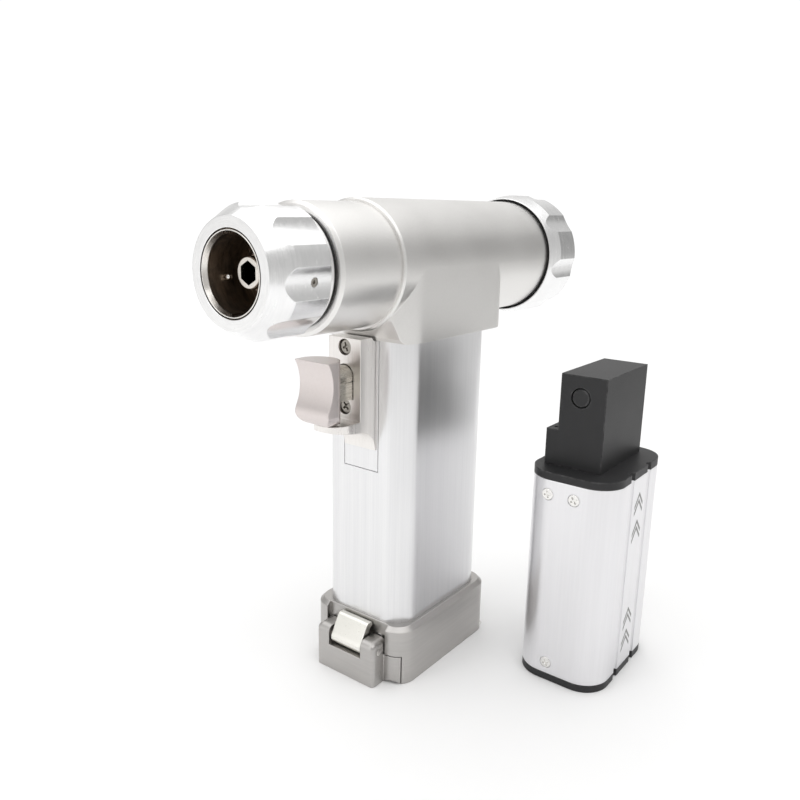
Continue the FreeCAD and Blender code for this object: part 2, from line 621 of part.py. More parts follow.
def stem_outline(sk, gap):
    w = D["stem_half_width"] + gap
    r = D["stem_half_width"] + gap
    loop(sk, [(-w, D["stem_bottom"] - gap), (w, D["stem_bottom"] - gap), (w, D["stem_top"] - D["stem_half_width"]),
              (r, 0.0, D["stem_top"] - D["stem_half_width"]), (0.0, D["stem_top"] + gap),
              (r, 0.0, D["stem_top"] - D["stem_half_width"]), (-w, D["stem_top"] - D["stem_half_width"])])


sk = new_sketch(b, "YZ_Plane", GL + 1)
stem_outline(sk, Size(0.5, "(0.5)"))
feature(b, "Pocket", sk, 6.0)

b = new_body("trigger_panel")
sk = new_sketch(b, "YZ_Plane", GL - D["panel_thick"])
rect(sk, -D["panel_half_width"], D["panel_half_width"], D["panel_bottom"], 132.8)
feature(b, "Pad", sk, D["panel_thick"])
sk = new_sketch(b, "YZ_Plane", GL + 1)
stem_outline(sk, Size(0.4, "(0.4)"))
feature(b, "Pocket", sk, 6.0)

# ---- trigger group ---------------------------------------------------------

BW = D["bracket_half_width"]
b = new_body("trigger_bracket")
f = across(b, [(28.5, 92.0), (29.3, 92.0), (8.4, 37.7, 92.0), (31.76, 97.94), (8.4, 37.7, 92.0),
               (D["bracket_front"], D["tongue_bottom"]),
               (D["tongue_front"], D["tongue_tip"]), (D["tongue_front"], D["tongue_top"]),
               (D["bracket_front"], D["tongue_top"]), (D["bracket_front"], D["bracket_top"]), (31.6, D["bracket_top"]),
               (30.4, 132.9), (28.5, 132.9)], BW)
f = soften(b, f, "Fillet", 7.0, lambda e: upright(e) and abs(e.Vertexes[0].Point.x - D["tongue_front"].value) < 1e-4)
sk = new_sketch(b, "YZ_Plane", D["bracket_front"])
ring(sk, 0.0, 130.8, 2.95)
ring(sk, 0.0, 109.2, 2.95)
feature(b, "Pocket", sk, 2.4)
sk = new_sketch(b, "YZ_Plane", D["bracket_front"])
ring(sk, 0.0, 130.8, 1.5)
ring(sk, 0.0, 109.2, 1.5)
feature(b, "Pocket", sk, 7.0)
sk = new_sketch(b, "YZ_Plane", D["bracket_front"])
stem_outline(sk, D["stem_gap"])
feature(b, "Pocket", sk, 12.0)


def phillips(head_r, head_h, shank_r, shank_l, countersunk=False):
    """Cross-head screw along -X with its head's top face at x = 0."""
    if countersunk:
        s = Part.makeCone(shank_r, head_r, head_h, Vector(-head_h, 0, 0), Vector(1, 0, 0))
    else:
        s = cyl(head_r, head_h, Vector(-head_h, 0, 0))
        s = s.makeChamfer(head_h * 0.22, [e for e in s.Edges if abs(e.BoundBox.XMin) < 1e-6 and abs(e.BoundBox.XMax) < 1e-6])
    s = s.fuse(cyl(shank_r, shank_l, Vector(-head_h - shank_l, 0, 0)))
    arm, wide, deep = head_r * 0.62, head_r * 0.14, head_h * 0.6
    cross = box(-deep, 1, -arm, arm, -wide, wide).fuse(box(-deep, 1, -wide, wide, -arm, arm))
    cross = cross.fuse(Part.makeCone(head_r * 0.12, head_r * 0.34, deep + 0.01, Vector(-deep, 0, 0), Vector(1, 0, 0)))
    return s.cut(cross).removeSplitter()


screws = []
for z, turn in ((130.8, 20), (109.2, 38)):
    s = phillips(2.7, 1.5, 1.45, 4.4)
    s.rotate(Vector(0, 0, 0), Vector(1, 0, 0), turn)
    s.translate(Vector(D["bracket_front"].value - 0.85, 0, z))
    screws.append(s)
solid_feature("bracket_screws", Part.makeCompound(screws))

b = new_body("trigger_stem")
sk = new_sketch(b, "YZ_Plane", D["stem_back"])
stem_outline(sk, 0.0)
feature(b, "Pad", sk, D["cap_back"] + 1.4 - D["stem_back"])
sk = new_sketch(b, "YZ_Plane", D["stem_back"])
ring(sk, 0.0, 116.0, 2.3)
feature(b, "Pocket", sk, 10.0, True)
sk = new_sketch(b, "YZ_Plane", D["stem_back"])
ring(sk, 0.0, 121.4, 1.6)
feature(b, "Pocket", sk, 1.8, True)
sk = new_sketch(b, "YZ_Plane", D["stem_back"] - 1)
rect(sk, 3.65, 4.4, 118.75, 119.05)
rect(sk, -4.4, -3.65, 118.75, 119.05)
feature(b, "Pocket", sk, 24.0, True)
solid_feature("trigger_magnet", cyl(1.6, 1.6, Vector(25.8, 0, 121.4)))
helix = Part.makeHelix(1.56, 15.6, 1.75)
section = Part.Wire([Part.makeCircle(0.25, Vector(1.75, 0, 0), Vector(0, 1, 0))])
spring = Part.Wire(helix.Edges).makePipeShell([section], True, True)
spring.Placement = Placement(Vector(19.45, 0, 116.0), CYCLE)
solid_feature("trigger_spring", spring)
tb = box(18.0, 19.2, -8, 8, 111.5, 133.0).fuse(box(19.2, 20.4, -2, 2, 126.2, 129.2)).fuse(box(19.2, 20.0, 3.4, 6.4, 125, 130))
solid_feature("trigger_board", tb)

# Trigger cap: concave finger face in side view, rounded back in plan.
b = new_body("trigger_cap")
CB, CT = D["cap_bottom"], D["cap_top"]
horn = 68.45 - math.sqrt(16.25 ** 2 - 8.5 ** 2)
reach = math.hypot(68.45 - 50.15, 119.5 - 109.5)
fall = 50.15 + 4.6 * (68.45 - 50.15) / reach, 109.5 + 4.6 * (119.5 - 109.5) / reach
f = across(b, [(43.0, CB), (50.15, CB), (4.6, 50.15, 109.5), (50.15 + 4.6 * math.cos(math.radians(-35)), 109.5 + 4.6 * math.sin(math.radians(-35))),
               (4.6, 50.15, 109.5), fall, (16.25, 68.45, 119.5), (68.45 - 16.25, 119.5), (16.25, 68.45, 119.5),
               (horn, CT), (43.0, CT)], D["cap_half_width"])
sk = new_sketch(b, "XY_Plane", CB - 1)
plan_y = math.sqrt(8.15 ** 2 - (52.15 - 50.0) ** 2)
loop(sk, [(40.0, -12.0), (50.0, -12.0), (50.0, -plan_y), (8.15, 52.15, 0.0), (44.0, 0.0),
          (8.15, 52.15, 0.0), (50.0, plan_y), (50.0, 12.0), (40.0, 12.0)])
feature(b, "Pocket", sk, 30.0, True)
# rounded lower corners, seen from the front
low = CB.value
sk = new_sketch(b, "YZ_Plane", 58.0)
loop(sk, [(-12.0, low - 1.5), (-2.7, low - 1.5), (-2.7, low - 0.1), (5.2, -2.7, low + 5.1), (-7.9, low + 5.1), (-12.0, low + 5.1)])
loop(sk, [(2.7, low - 1.5), (12.0, low - 1.5), (12.0, low + 5.1), (7.9, low + 5.1), (5.2, 2.7, low + 5.1), (2.7, low - 0.1)])
feature(b, "Pocket", sk, 20.0)
sk = new_sketch(b, "YZ_Plane", D["cap_back"] - 1.2)
stem_outline(sk, Size(0.0, "(0)"))
feature(b, "Pocket", sk, 4.8, True)
doc.recompute()

# ---- base, door and latch --------------------------------------------------

BF, BB, BH, BR = D["base_front"], D["base_back"], D["base_half_width"], D["base_round"]
GAP = D["door_gap"]
b = new_body("base_collar")
sk = new_sketch(b, "XY_Plane")
rounded(sk, BB, BF, -BH, BH, BR)
f = feature(b, "Pad", sk, D["base_height"])
soften(b, f, "Chamfer", D["base_bevel"],
       lambda e: abs(e.BoundBox.ZMin - D["base_height"].value) < 1e-5 and abs(e.BoundBox.ZMax - D["base_height"].value) < 1e-5)
sk = new_sketch(b, "XY_Plane", D["base_height"])
rounded(sk, -GL, GL, -GW, GW, GR)
feature(b, "Pocket", sk, D["base_height"] - D["grip_bottom"] + 0.2)
sk = new_sketch(b, "XY_Plane", D["grip_bottom"] - 0.2)
rect(sk, -28.6, 23.2, -(D["door_half_width"] + GAP), D["door_half_width"] + GAP)
feature(b, "Pocket", sk, D["grip_bottom"])
sk = new_sketch(b, "XY_Plane", D["door_flange_height"] + GAP)
rect(sk, 23.1, 45.0, -(D["door_half_width"] + GAP), D["door_half_width"] + GAP)
feature(b, "Pocket", sk, D["door_flange_height"] + GAP + 1)
sk = new_sketch(b, "XY_Plane", D["base_height"] + 1)
rect(sk, 29.4, 45.0, -14.9, 14.9)
feature(b, "Pocket", sk, D["base_height"] + 1 - D["door_flange_height"])
sk = new_sketch(b, "XZ_Plane", -22.8)
ring(sk, D["hinge_offset"], D["hinge_height"], 1.0)
feature(b, "Pocket", sk, 45.6, True)

hinge_pin = Part.makeCylinder(1.0, 45.4, Vector(D["hinge_offset"].value, -22.7, D["hinge_height"].value), Vector(0, 1, 0))
solid_feature("door_hinge_pin", hinge_pin)

marks = []
for y in (-10.8, 10.8):
    s = cyl(1.35, 0.3, Vector(29.4, y, 17.2))
    s = s.cut(cyl(0.7, 0.2, Vector(29.55, y, 17.2)))
    marks.append(s)
solid_feature("recess_pins", Part.makeCompound(marks))

b = new_body("door")
across(b, [(D["hinge_offset"], 0.0), (23.6, 0.0), (23.6, D["door_thick"]), (-24.872, D["door_thick"]),
           (D["hinge_height"], D["hinge_offset"], D["hinge_height"]), (-28.3, 2.0),
           (D["hinge_height"], D["hinge_offset"], D["hinge_height"])], D["door_half_width"])
sk = new_sketch(b, "XY_Plane")
edge_x = 23.4 + math.sqrt(64.0 - 5.7 ** 2)
loop(sk, [(23.4, -D["door_half_width"]), (edge_x, -D["door_half_width"]), (BR, BF - BR, -BH + BR), (BF, -BH + BR),
          (BF, BH - BR), (BR, BF - BR, BH - BR), (edge_x, D["door_half_width"]), (23.4, D["door_half_width"])])
feature(b, "Pad", sk, D["door_flange_height"])
sk = new_sketch(b, "XY_Plane")
rect(sk, 30.2, D["block_front"], -D["block_half_width"], D["block_half_width"])
f = feature(b, "Pad", sk, D["ear_height"])
f = soften(b, f, "Fillet", 1.6, lambda e: upright(e) and abs(e.Vertexes[0].Point.x - D["block_front"].value) < 1e-4)
f = soften(b, f, "Fillet", 2.4, lambda e: abs(e.BoundBox.ZMin - D["ear_height"].value) < 1e-4
           and abs(e.BoundBox.ZMax - D["ear_height"].value) < 1e-4 and abs(e.BoundBox.XMin - D["block_front"].value) < 1e-4)
sk = new_sketch(b, "XY_Plane", D["door_flange_height"])
rounded(sk, -(GL + 0.4), GL + 0.4, -(GW + 0.4), GW + 0.4, GR + 0.4)
feature(b, "Pocket", sk, D["door_flange_height"] - D["door_thick"])
sk = new_sketch(b, "YZ_Plane", D["block_front"] + 1)
rect(sk, -D["latch_slot"], D["latch_slot"], 10.3, 19.0)
feature(b, "Pocket", sk, 9.6)
sk = new_sketch(b, "XZ_Plane", -15.0)
ring(sk, D["latch_offset"], D["latch_height"], 1.0)
feature(b, "Pocket", sk, 30.0, True)
sk = new_sketch(b, "XZ_Plane", -22.0)
ring(sk, D["hinge_offset"], D["hinge_height"], 1.06)
feature(b, "Pocket", sk, 44.0, True)
sk = new_sketch(b, "YZ_Plane", 20.0)
ring(sk, 17.75, -3.3, 4.6)
ring(sk, -17.75, -3.3, 4.6)
feature(b, "Pocket", sk, 20.0, True)

b = new_body("door_seal")
sk = new_sketch(b, "XY_Plane", D["door_thick"])
rounded(sk, -23.0, 26.4, -17.9, 17.9, Size(7.8, "(7.8)"))
rounded(sk, -21.2, 24.6, -16.1, 16.1, Size(6.0, "(6.0)"))
feature(b, "Pad", sk, 0.8)

latch_pin = Part.makeCylinder(1.0, 29.0, Vector(D["latch_offset"].value, -14.5, D["latch_height"].value), Vector(0, 1, 0))
solid_feature("latch_pin", latch_pin)

b = new_body("latch_lever")
across(b, [(37.3, 14.3), (36.7, 15.6), (33.0, 21.9), (32.2, 22.5), (30.3, 22.5), (29.8, 22.0), (29.8, 20.9), (30.9, 20.4),
           (33.2, 16.6), (33.0, 15.6), (32.1, 14.8), (31.9, 13.2), (32.6, 11.9), (33.9, 10.95), (35.5, 10.95),
           (36.7, 11.7), (37.35, 12.9)], D["latch_half_width"])
sk = new_sketch(b, "XZ_Plane", -10.0)
ring(sk, D["latch_offset"], D["latch_height"], 1.06)
feature(b, "Pocket", sk, 20.0, True)

# ---- battery connection inside the grip -------------------------------------

b = new_body("contact_socket")
sk = new_sketch(b, "XY_Plane", 133.0)
rounded(sk, -(GL - WALL), GL - WALL, -(GW - WALL), GW - WALL, GR - WALL)
feature(b, "Pad", sk, D["grip_top"] - 133.0)
sk = new_sketch(b, "XY_Plane", 98.0)
rect(sk, -26.8, -23.2, -9.0, 9.0)
feature(b, "Pad", sk, 36.0)
sk = new_sketch(b, "XY_Plane", D["grip_top"] + 1)
rounded(sk, -12.0, 8.0, -6.0, 6.0, Size(2.0, "(2)"))
feature(b, "Pocket", sk, 10.0)
blades = []
for y in (-6.0, -2.0, 2.0, 6.0):
    blades.append(box(-23.2, -22.7, y - 1.2, y + 1.2, 99.5, 128.0).fuse(
        Part.makeCylinder(1.3, 2.4, Vector(-22.75, y - 1.2, 109.0), Vector(0, 1, 0)).common(
            box(-22.75, -20, y - 1.2, y + 1.2, 100, 112))).removeSplitter())
solid_feature("contact_blades", Part.makeCompound(blades))

# ---- battery pack ----------------------------------------------------------

PX, PY = D["pack_offset_long"], D["pack_offset_side"]
PL, PW, PR = D["pack_half_length"], D["pack_half_width"], D["pack_round"]
PP, PB, PG, PO = D["pack_plate"], D["pack_body"], D["pack_groove"], D["pack_groove_offset"]


def grooves(b, z0, height, r):
    sk = new_sketch(b, "XY_Plane", z0)
    for su in (-1, 1):
        for sw in (-1, 1):
            ring(sk, PO if su > 0 else -PO, PW if sw > 0 else -PW, r)
    feature(b, "Pocket", sk, height, True)


b = new_body("pack_shell", PX, PY, PP)
sk = new_sketch(b, "XY_Plane")
rounded(sk, -PL, PL, -PW, PW, PR)
feature(b, "Pad", sk, PB)
sk = new_sketch(b, "XY_Plane")
rounded(sk, -(PL - D["pack_wall"]), PL - D["pack_wall"], -(PW - D["pack_wall"]), PW - D["pack_wall"], PR - D["pack_wall"])
feature(b, "Pocket", sk, PB, True)
sk = new_sketch(b, "XY_Plane")
for su in (-1, 1):
    for lo, hi in ((-17.0, -14.6), (14.6, 17.0)):
        c = PO if su > 0 else -PO
        rect(sk, c - 2.6, c + 2.6, lo, hi)
feature(b, "Pad", sk, PB)
grooves(b, 0.0, PB, PG)
sk = new_sketch(b, "YZ_Plane", PL)
ring(sk, -7.5, 73.3, 2.35)
ring(sk, 3.0, 73.3, 2.35)
ring(sk, -3.6, 4.4, 2.35)
feature(b, "Pocket", sk, 0.95)
sk = new_sketch(b, "YZ_Plane", PL)
ring(sk, -7.5, 73.3, 1.2)
ring(sk, 3.0, 73.3, 1.2)
ring(sk, -3.6, 4.4, 1.2)
feature(b, "Pocket", sk, 2.0)

for label, z0 in (("pack_bottom_plate", Size(0.0, "(0)")), ("pack_top_plate", PP + PB)):
    b = new_body(label, PX, PY, z0)
    sk = new_sketch(b, "XY_Plane")
    rounded(sk, -PL, PL, -PW, PW, PR)
    feature(b, "Pad", sk, PP)
    grooves(b, 0.0, PP, PG)

b = new_body("pack_contact_block", PX, PY, PP + PB + PP)
sk = new_sketch(b, "XY_Plane")
rect(sk, -21.0, 17.5, -14.0, -9.3)
feature(b, "Pad", sk, 14.0)
sk = new_sketch(b, "XY_Plane")
rect(sk, -21.0, 17.5, -9.3, 8.7)
feature(b, "Pad", sk, D["pack_block"])
sk = new_sketch(b, "YZ_Plane", 17.5)
ring(sk, -1.2, 27.4, D["pack_button_radius"] + 0.35)
feature(b, "Pocket", sk, 4.5)
sk = new_sketch(b, "XY_Plane", 14.0)
ring(sk, 13.8, -11.7, 0.9)
feature(b, "Pocket", sk, 3.0)
sk = new_sketch(b, "YZ_Plane", -21.0)
for y in (-6.0, -2.0, 2.0, 6.0):
    rect(sk, y - 1.25, y + 1.25, 16.0, 28.0)
feature(b, "Pocket", sk, 0.8, True)

b = new_body("pack_button", PX, PY, PP + PB + PP)
sk = new_sketch(b, "YZ_Plane", 14.3)
ring(sk, -1.2, 27.4, D["pack_button_radius"])
f = feature(b, "Pad", sk, 3.2)
soften(b, f, "Chamfer", 0.35, lambda e: abs(e.BoundBox.XMin - 17.5) < 1e-4)

terminals = [box(-21.0, -20.2, y - 1.25, y + 1.25, 16.0, 28.0) for y in (-6.0, -2.0, 2.0, 6.0)]
solid_feature("pack_terminals", Part.makeCompound(terminals), PX, PY, PP + PB + PP)

cells = []
for cx in (-16.3, 0.0, 16.3):
    for cy in (-8.1, 8.1):
        c = Part.makeCylinder(7.95, 69.0, Vector(cx, cy, 0.0)).fuse(Part.makeCylinder(2.6, 70.2, Vector(cx, cy, 0.0)))
        cells.append(c.removeSplitter())
solid_feature("pack_cells", Part.makeCompound(cells), PX, PY, PP)

screws = []
for y, z, turn in ((-7.5, 73.3, 12), (3.0, 73.3, 33), (-3.6, 4.4, 24)):
    s = phillips(2.3, 0.9, 1.15, 1.9)
    s.rotate(Vector(0, 0, 0), Vector(1, 0, 0), turn)
    s.translate(Vector(PL.value - 0.05, y, z))
    screws.append(s)
solid_feature("pack_screws", Part.makeCompound(screws), PX, PY, PP)

# ---- checks and export -----------------------------------------------------

doc.recompute()
for obj in doc.Objects:
    for state in obj.State:
        if state in ("Invalid", "Error"):
            raise RuntimeError("%s is %s" % (obj.Label, state))

os.makedirs("parts", exist_ok=True)
written = []
for obj in doc.Objects:
    if obj.isDerivedFrom("PartDesign::Body") or obj.TypeId == "Part::Feature":
        shape = obj.Shape
        if shape.isNull() or not shape.isValid():
            raise RuntimeError("%s has no valid shape" % obj.Label)
        if shape.Volume < 1e-3 or not shape.Solids:
            raise RuntimeError("%s holds no solid" % obj.Label)
        shape.exportStep("parts/%s.step" % obj.Label)
        written.append(obj.Label)
        bb = shape.BoundBox
        print("%-22s solids %d volume %10.2f  x %.2f %.2f  y %.2f %.2f  z %.2f %.2f" % (
            obj.Label, len(shape.Solids), shape.Volume, bb.XMin, bb.XMax, bb.YMin, bb.YMax, bb.ZMin, bb.ZMax))
print(len(written), "nodes written")
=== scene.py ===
import json
import math

import bmesh
import bpy
from mathutils import Matrix, Vector


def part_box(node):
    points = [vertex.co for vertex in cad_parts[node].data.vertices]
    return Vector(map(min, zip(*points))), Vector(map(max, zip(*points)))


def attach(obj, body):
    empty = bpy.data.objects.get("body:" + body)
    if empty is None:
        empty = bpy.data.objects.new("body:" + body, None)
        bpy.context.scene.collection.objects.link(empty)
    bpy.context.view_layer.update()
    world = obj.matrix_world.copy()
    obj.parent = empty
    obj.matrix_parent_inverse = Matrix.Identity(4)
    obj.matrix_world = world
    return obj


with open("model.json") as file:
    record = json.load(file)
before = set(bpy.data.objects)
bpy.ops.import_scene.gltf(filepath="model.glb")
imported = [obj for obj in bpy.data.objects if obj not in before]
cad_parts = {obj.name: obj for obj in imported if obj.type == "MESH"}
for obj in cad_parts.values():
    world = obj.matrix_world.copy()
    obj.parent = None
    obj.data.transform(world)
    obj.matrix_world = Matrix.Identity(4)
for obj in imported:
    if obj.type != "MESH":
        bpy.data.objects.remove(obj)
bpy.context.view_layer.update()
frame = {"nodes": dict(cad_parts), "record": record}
nodes = frame["nodes"]
scene = bpy.context.scene
H = 0.159                      # barrel axis above the base, metres

# ---- camera ----------------------------------------------------------------

cam_data = bpy.data.cameras.new("camera")
cam = bpy.data.objects.new("camera", cam_data)
scene.collection.objects.link(cam)
scene.camera = cam
az, el, roll = math.radians(127.395), math.radians(14.102), math.radians(1.036)
back = Vector((math.sin(az) * math.cos(el), -math.cos(az) * math.cos(el), math.sin(el)))
right = Vector((math.cos(az), math.sin(az), 0.0))
up = back.cross(right)
r2 = right * math.cos(roll) + up * math.sin(roll)
u2 = up * math.cos(roll) - right * math.sin(roll)
m = Matrix((r2, u2, back)).transposed().to_4x4()
m.translation = Vector((0.237625, 0.177845, 0.178932))
cam.matrix_world = m
cam_data.sensor_fit = "HORIZONTAL"
cam_data.sensor_width = 36.0
cam_data.lens = 767.054 / 800.0 * 36.0
cam_data.clip_start, cam_data.clip_end = 0.01, 30.0

# ---- material tools --------------------------------------------------------


class Mat:
    """A node material with short calls for the usual procedural pieces."""

    def __init__(self, name):
        self.m = bpy.data.materials.new(name)
        self.m.use_nodes = True
        self.t = self.m.node_tree
        self.t.nodes.clear()
        self.out = self.t.nodes.new("ShaderNodeOutputMaterial")
        self.p = self.t.nodes.new("ShaderNodeBsdfPrincipled")
        self.t.links.new(self.p.outputs[0], self.out.inputs[0])
        self.co = self.t.nodes.new("ShaderNodeTexCoord")

    def n(self, kind, **props):
        node = self.t.nodes.new(kind)
        for k, v in props.items():
            setattr(node, k, v)
        return node

    def link(self, a, b):
        self.t.links.new(a, b)

    def mapped(self, scale=(1, 1, 1), loc=(0, 0, 0), rot=(0, 0, 0)):
        k = self.n("ShaderNodeMapping")
        k.inputs["Scale"].default_value = scale
        k.inputs["Location"].default_value = loc
        k.inputs["Rotation"].default_value = rot
        self.link(self.co.outputs["Object"], k.inputs["Vector"])
        return k.outputs["Vector"]

    def noise(self, vec, scale, detail=3.0, rough=0.55, distort=0.0):
        k = self.n("ShaderNodeTexNoise")
        k.inputs["Scale"].default_value = scale
        k.inputs["Detail"].default_value = detail
        k.inputs["Roughness"].default_value = rough
        k.inputs["Distortion"].default_value = distort
        self.link(vec, k.inputs["Vector"])
        return k.outputs["Fac"]

    def remap(self, val, a, b, c, d, smooth=False):
        k = self.n("ShaderNodeMapRange")
        if smooth:
            k.interpolation_type = "SMOOTHSTEP"
        k.inputs["From Min"].default_value = a
        k.inputs["From Max"].default_value = b
        k.inputs["To Min"].default_value = c
        k.inputs["To Max"].default_value = d
        self.link(val, k.inputs["Value"])
        return k.outputs["Result"]

    def math(self, op, a, b=None, c=None):
        k = self.n("ShaderNodeMath", operation=op)
        for i, v in enumerate((a, b, c)):
            if v is None:
                continue
            if isinstance(v, (int, float)):
                k.inputs[i].default_value = v
            else:
                self.link(v, k.inputs[i])
        return k.outputs[0]

    def mix(self, fac, ca, cb):
        k = self.n("ShaderNodeMix", data_type="RGBA")
        self.link(fac, k.inputs["Factor"])
        for sock, c in ((k.inputs[6], ca), (k.inputs[7], cb)):
            if isinstance(c, (tuple, list)):
                sock.default_value = (c[0], c[1], c[2], 1.0)
            else:
                self.link(c, sock)
        return k.outputs[2]

    def set(self, **vals):
        for k, v in vals.items():
            self.p.inputs[k.replace("_", " ")].default_value = v

    def bump(self, height, strength, distance, bevel=0.0):
        k = self.n("ShaderNodeBump")
        k.inputs["Strength"].default_value = strength
        k.inputs["Distance"].default_value = distance
        self.link(height, k.inputs["Height"])
        if bevel:
            e = self.n("ShaderNodeBevel", samples=6)
            e.inputs["Radius"].default_value = bevel
            self.link(e.outputs["Normal"], k.inputs["Normal"])
        self.link(k.outputs["Normal"], self.p.inputs["Normal"])

    def edge_wear_and_highlight_mask(self, radius=0.0006):
        """1 along edges, 0 on the faces between them."""
        e = self.n("ShaderNodeBevel", samples=4)
        e.inputs["Radius"].default_value = radius
        g = self.n("ShaderNodeNewGeometry")
        d = self.n("ShaderNodeVectorMath", operation="DOT_PRODUCT")
        self.link(e.outputs["Normal"], d.inputs[0])
        self.link(g.outputs["Normal"], d.inputs[1])
        return self.remap(d.outputs["Value"], 0.995, 0.93, 0.0, 1.0)


def turned_coords(mat):
    """Radius and angle about the barrel axis, and x, from object coordinates."""
    sep = mat.n("ShaderNodeSeparateXYZ")
    mat.link(mat.co.outputs["Object"], sep.inputs[0])
    y, z = sep.outputs[1], mat.math("SUBTRACT", sep.outputs[2], H)
    r = mat.math("SQRT", mat.math("ADD", mat.math("MULTIPLY", y, y), mat.math("MULTIPLY", z, z)))
    return r, mat.math("ARCTAN2", z, y), sep.outputs[0]


def satin(name, color, dark, rough, grain=1400.0, grain_depth=0.00002, tint=0.06, bevel=0.0004, streak=None):
    """Blasted or brushed metal. streak is a mapping scale that stretches the
    grain, such as (900, 900, 14) for vertical brushing."""
    k = Mat(name)
    k.set(Metallic=1.0)
    vec = k.mapped((1, 1, 1))
    clouds = k.noise(vec, 38.0, 3.0)
    fine = k.noise(vec, grain, 2.0, 0.6)
    if streak:
        sv = k.mapped(streak)
        lines = k.noise(sv, 1.0, 4.0, 0.65)
        wide = k.noise(k.mapped(tuple(s * 0.22 for s in streak)), 1.0, 2.0)
        fac = k.math("ADD", k.math("MULTIPLY", lines, 0.65), k.math("MULTIPLY", wide, 0.35))
    else:
        lines = fine
        fac = k.math("ADD", k.math("MULTIPLY", fine, 0.45), k.math("MULTIPLY", clouds, 0.55))
    shade = k.remap(fac, 0.32, 0.68, 0.0, 1.0)
    base = k.mix(shade, dark, color)
    # painted highlight: every metal edge is lightened a little in the base colour, evenly all round
    edge_wear_and_highlight = k.edge_wear_and_highlight_mask(0.0005)
    k.link(k.mix(k.math("MULTIPLY", edge_wear_and_highlight, 0.5), base, (min(1, color[0] * 1.12), min(1, color[1] * 1.12), min(1, color[2] * 1.12))),
           k.p.inputs["Base Color"])
    k.link(k.remap(k.math("ADD", k.math("MULTIPLY", clouds, 0.5), k.math("MULTIPLY", lines, 0.5)), 0.3, 0.7, rough - tint, rough + tint),
           k.p.inputs["Roughness"])
    k.bump(lines if streak else fine, 0.35, grain_depth, bevel)
    return k.m


def lathe(name, color, dark, rough, pitch=2600.0, depth=0.000012, bevel=0.0003):
    """Turned metal: fine rings about the barrel axis, by radius and by x."""
    k = Mat(name)
    k.set(Metallic=1.0)
    r, ang, x = turned_coords(k)
    comb = k.n("ShaderNodeCombineXYZ")
    k.link(k.math("MULTIPLY", r, pitch), comb.inputs[0])
    k.link(k.math("MULTIPLY", ang, 2.2), comb.inputs[1])
    k.link(k.math("MULTIPLY", x, pitch), comb.inputs[2])
    rings = k.noise(comb.outputs[0], 1.0, 3.0, 0.6)
    comb2 = k.n("ShaderNodeCombineXYZ")
    k.link(k.math("MULTIPLY", r, pitch * 0.18), comb2.inputs[0])
    k.link(k.math("MULTIPLY", ang, 5.0), comb2.inputs[1])
    k.link(k.math("MULTIPLY", x, pitch * 0.18), comb2.inputs[2])
    wide = k.noise(comb2.outputs[0], 1.0, 3.0, 0.6)
    fac = k.math("ADD", k.math("MULTIPLY", rings, 0.6), k.math("MULTIPLY", wide, 0.4))
    base = k.mix(k.remap(fac, 0.33, 0.67, 0.0, 1.0), dark, color)
    k.link(base, k.p.inputs["Base Color"])
    k.link(k.remap(fac, 0.3, 0.7, rough - 0.05, rough + 0.07), k.p.inputs["Roughness"])
    k.bump(rings, 0.4, depth, bevel)
    return k.m


def moulded(name, color, light, rough, grain=2200.0, depth=0.00004, scuff=0.6, bevel=0.0004):
    """Moulded plastic or rubber with a fine skin and scuffed edges."""
    k = Mat(name)
    k.set(Metallic=0.0, Specular_IOR_Level=0.32)
    vec = k.mapped((1, 1, 1))
    fine = k.noise(vec, grain, 2.0, 0.6)
    clouds = k.noise(vec, 55.0, 4.0, 0.6)
    scratches = k.noise(k.mapped((60, 900, 140), rot=(0.3, 0.2, 0.9)), 1.0, 3.0, 0.7)
    edge_wear_and_highlight = k.edge_wear_and_highlight_mask(0.0009)
    mask = k.math("MULTIPLY", edge_wear_and_highlight, k.remap(k.noise(vec, 320.0, 4.0), 0.42, 0.68, 0.0, scuff))
    mask2 = k.math("MAXIMUM", mask, k.remap(scratches, 0.66, 0.80, 0.0, 0.12 * scuff))
    base = k.mix(k.remap(clouds, 0.3, 0.7, 0.0, 1.0), color, tuple(c * 1.12 + 0.001 for c in color))
    k.link(k.mix(mask2, base, light), k.p.inputs["Base Color"])
    k.link(k.remap(k.math("ADD", k.math("MULTIPLY", clouds, 0.6), k.math("MULTIPLY", fine, 0.4)), 0.3, 0.7, rough - 0.03, rough + 0.04),
           k.p.inputs["Roughness"])
    k.bump(fine, 0.5, depth, bevel)
    return k.m


M = {}
M["satin_aluminium"] = satin("satin_aluminium", (0.80, 0.79, 0.775), (0.755, 0.745, 0.73), 0.36)
M["machined_aluminium"] = lathe("machined_aluminium", (0.93, 0.93, 0.93), (0.84, 0.84, 0.845), 0.22)
M["brushed_aluminium"] = satin("brushed_aluminium", (0.83, 0.83, 0.835), (0.76, 0.76, 0.77), 0.33, streak=(1500, 1500, 22))
M["base_metal"] = satin("base_metal", (0.52, 0.505, 0.49), (0.46, 0.447, 0.435), 0.34, streak=(60, 60, 1300), bevel=0.0005)
M["lever_nickel"] = satin("lever_nickel", (0.88, 0.87, 0.82), (0.82, 0.81, 0.76), 0.32, grain=1600.0, bevel=0.0004)
M["brushed_nickel"] = satin("brushed_nickel", (0.87, 0.845, 0.82), (0.79, 0.765, 0.74), 0.30, streak=(1300, 1300, 30))
M["warm_nickel"] = satin("warm_nickel", (0.72, 0.665, 0.65), (0.68, 0.625, 0.61), 0.34, grain=900.0, tint=0.03, bevel=0.0005)
M["brushed_steel"] = satin("brushed_steel", (0.72, 0.69, 0.63), (0.42, 0.39, 0.34), 0.30, streak=(120, 1500, 1500), tint=0.1)
M["polished_steel"] = satin("polished_steel", (0.86, 0.85, 0.83), (0.78, 0.77, 0.75), 0.16, tint=0.04, bevel=0.0002)
M["gear_steel"] = lathe("gear_steel", (0.62, 0.62, 0.63), (0.50, 0.50, 0.51), 0.35)
M["spring_steel"] = satin("spring_steel", (0.55, 0.55, 0.56), (0.42, 0.42, 0.43), 0.3, bevel=0.0)
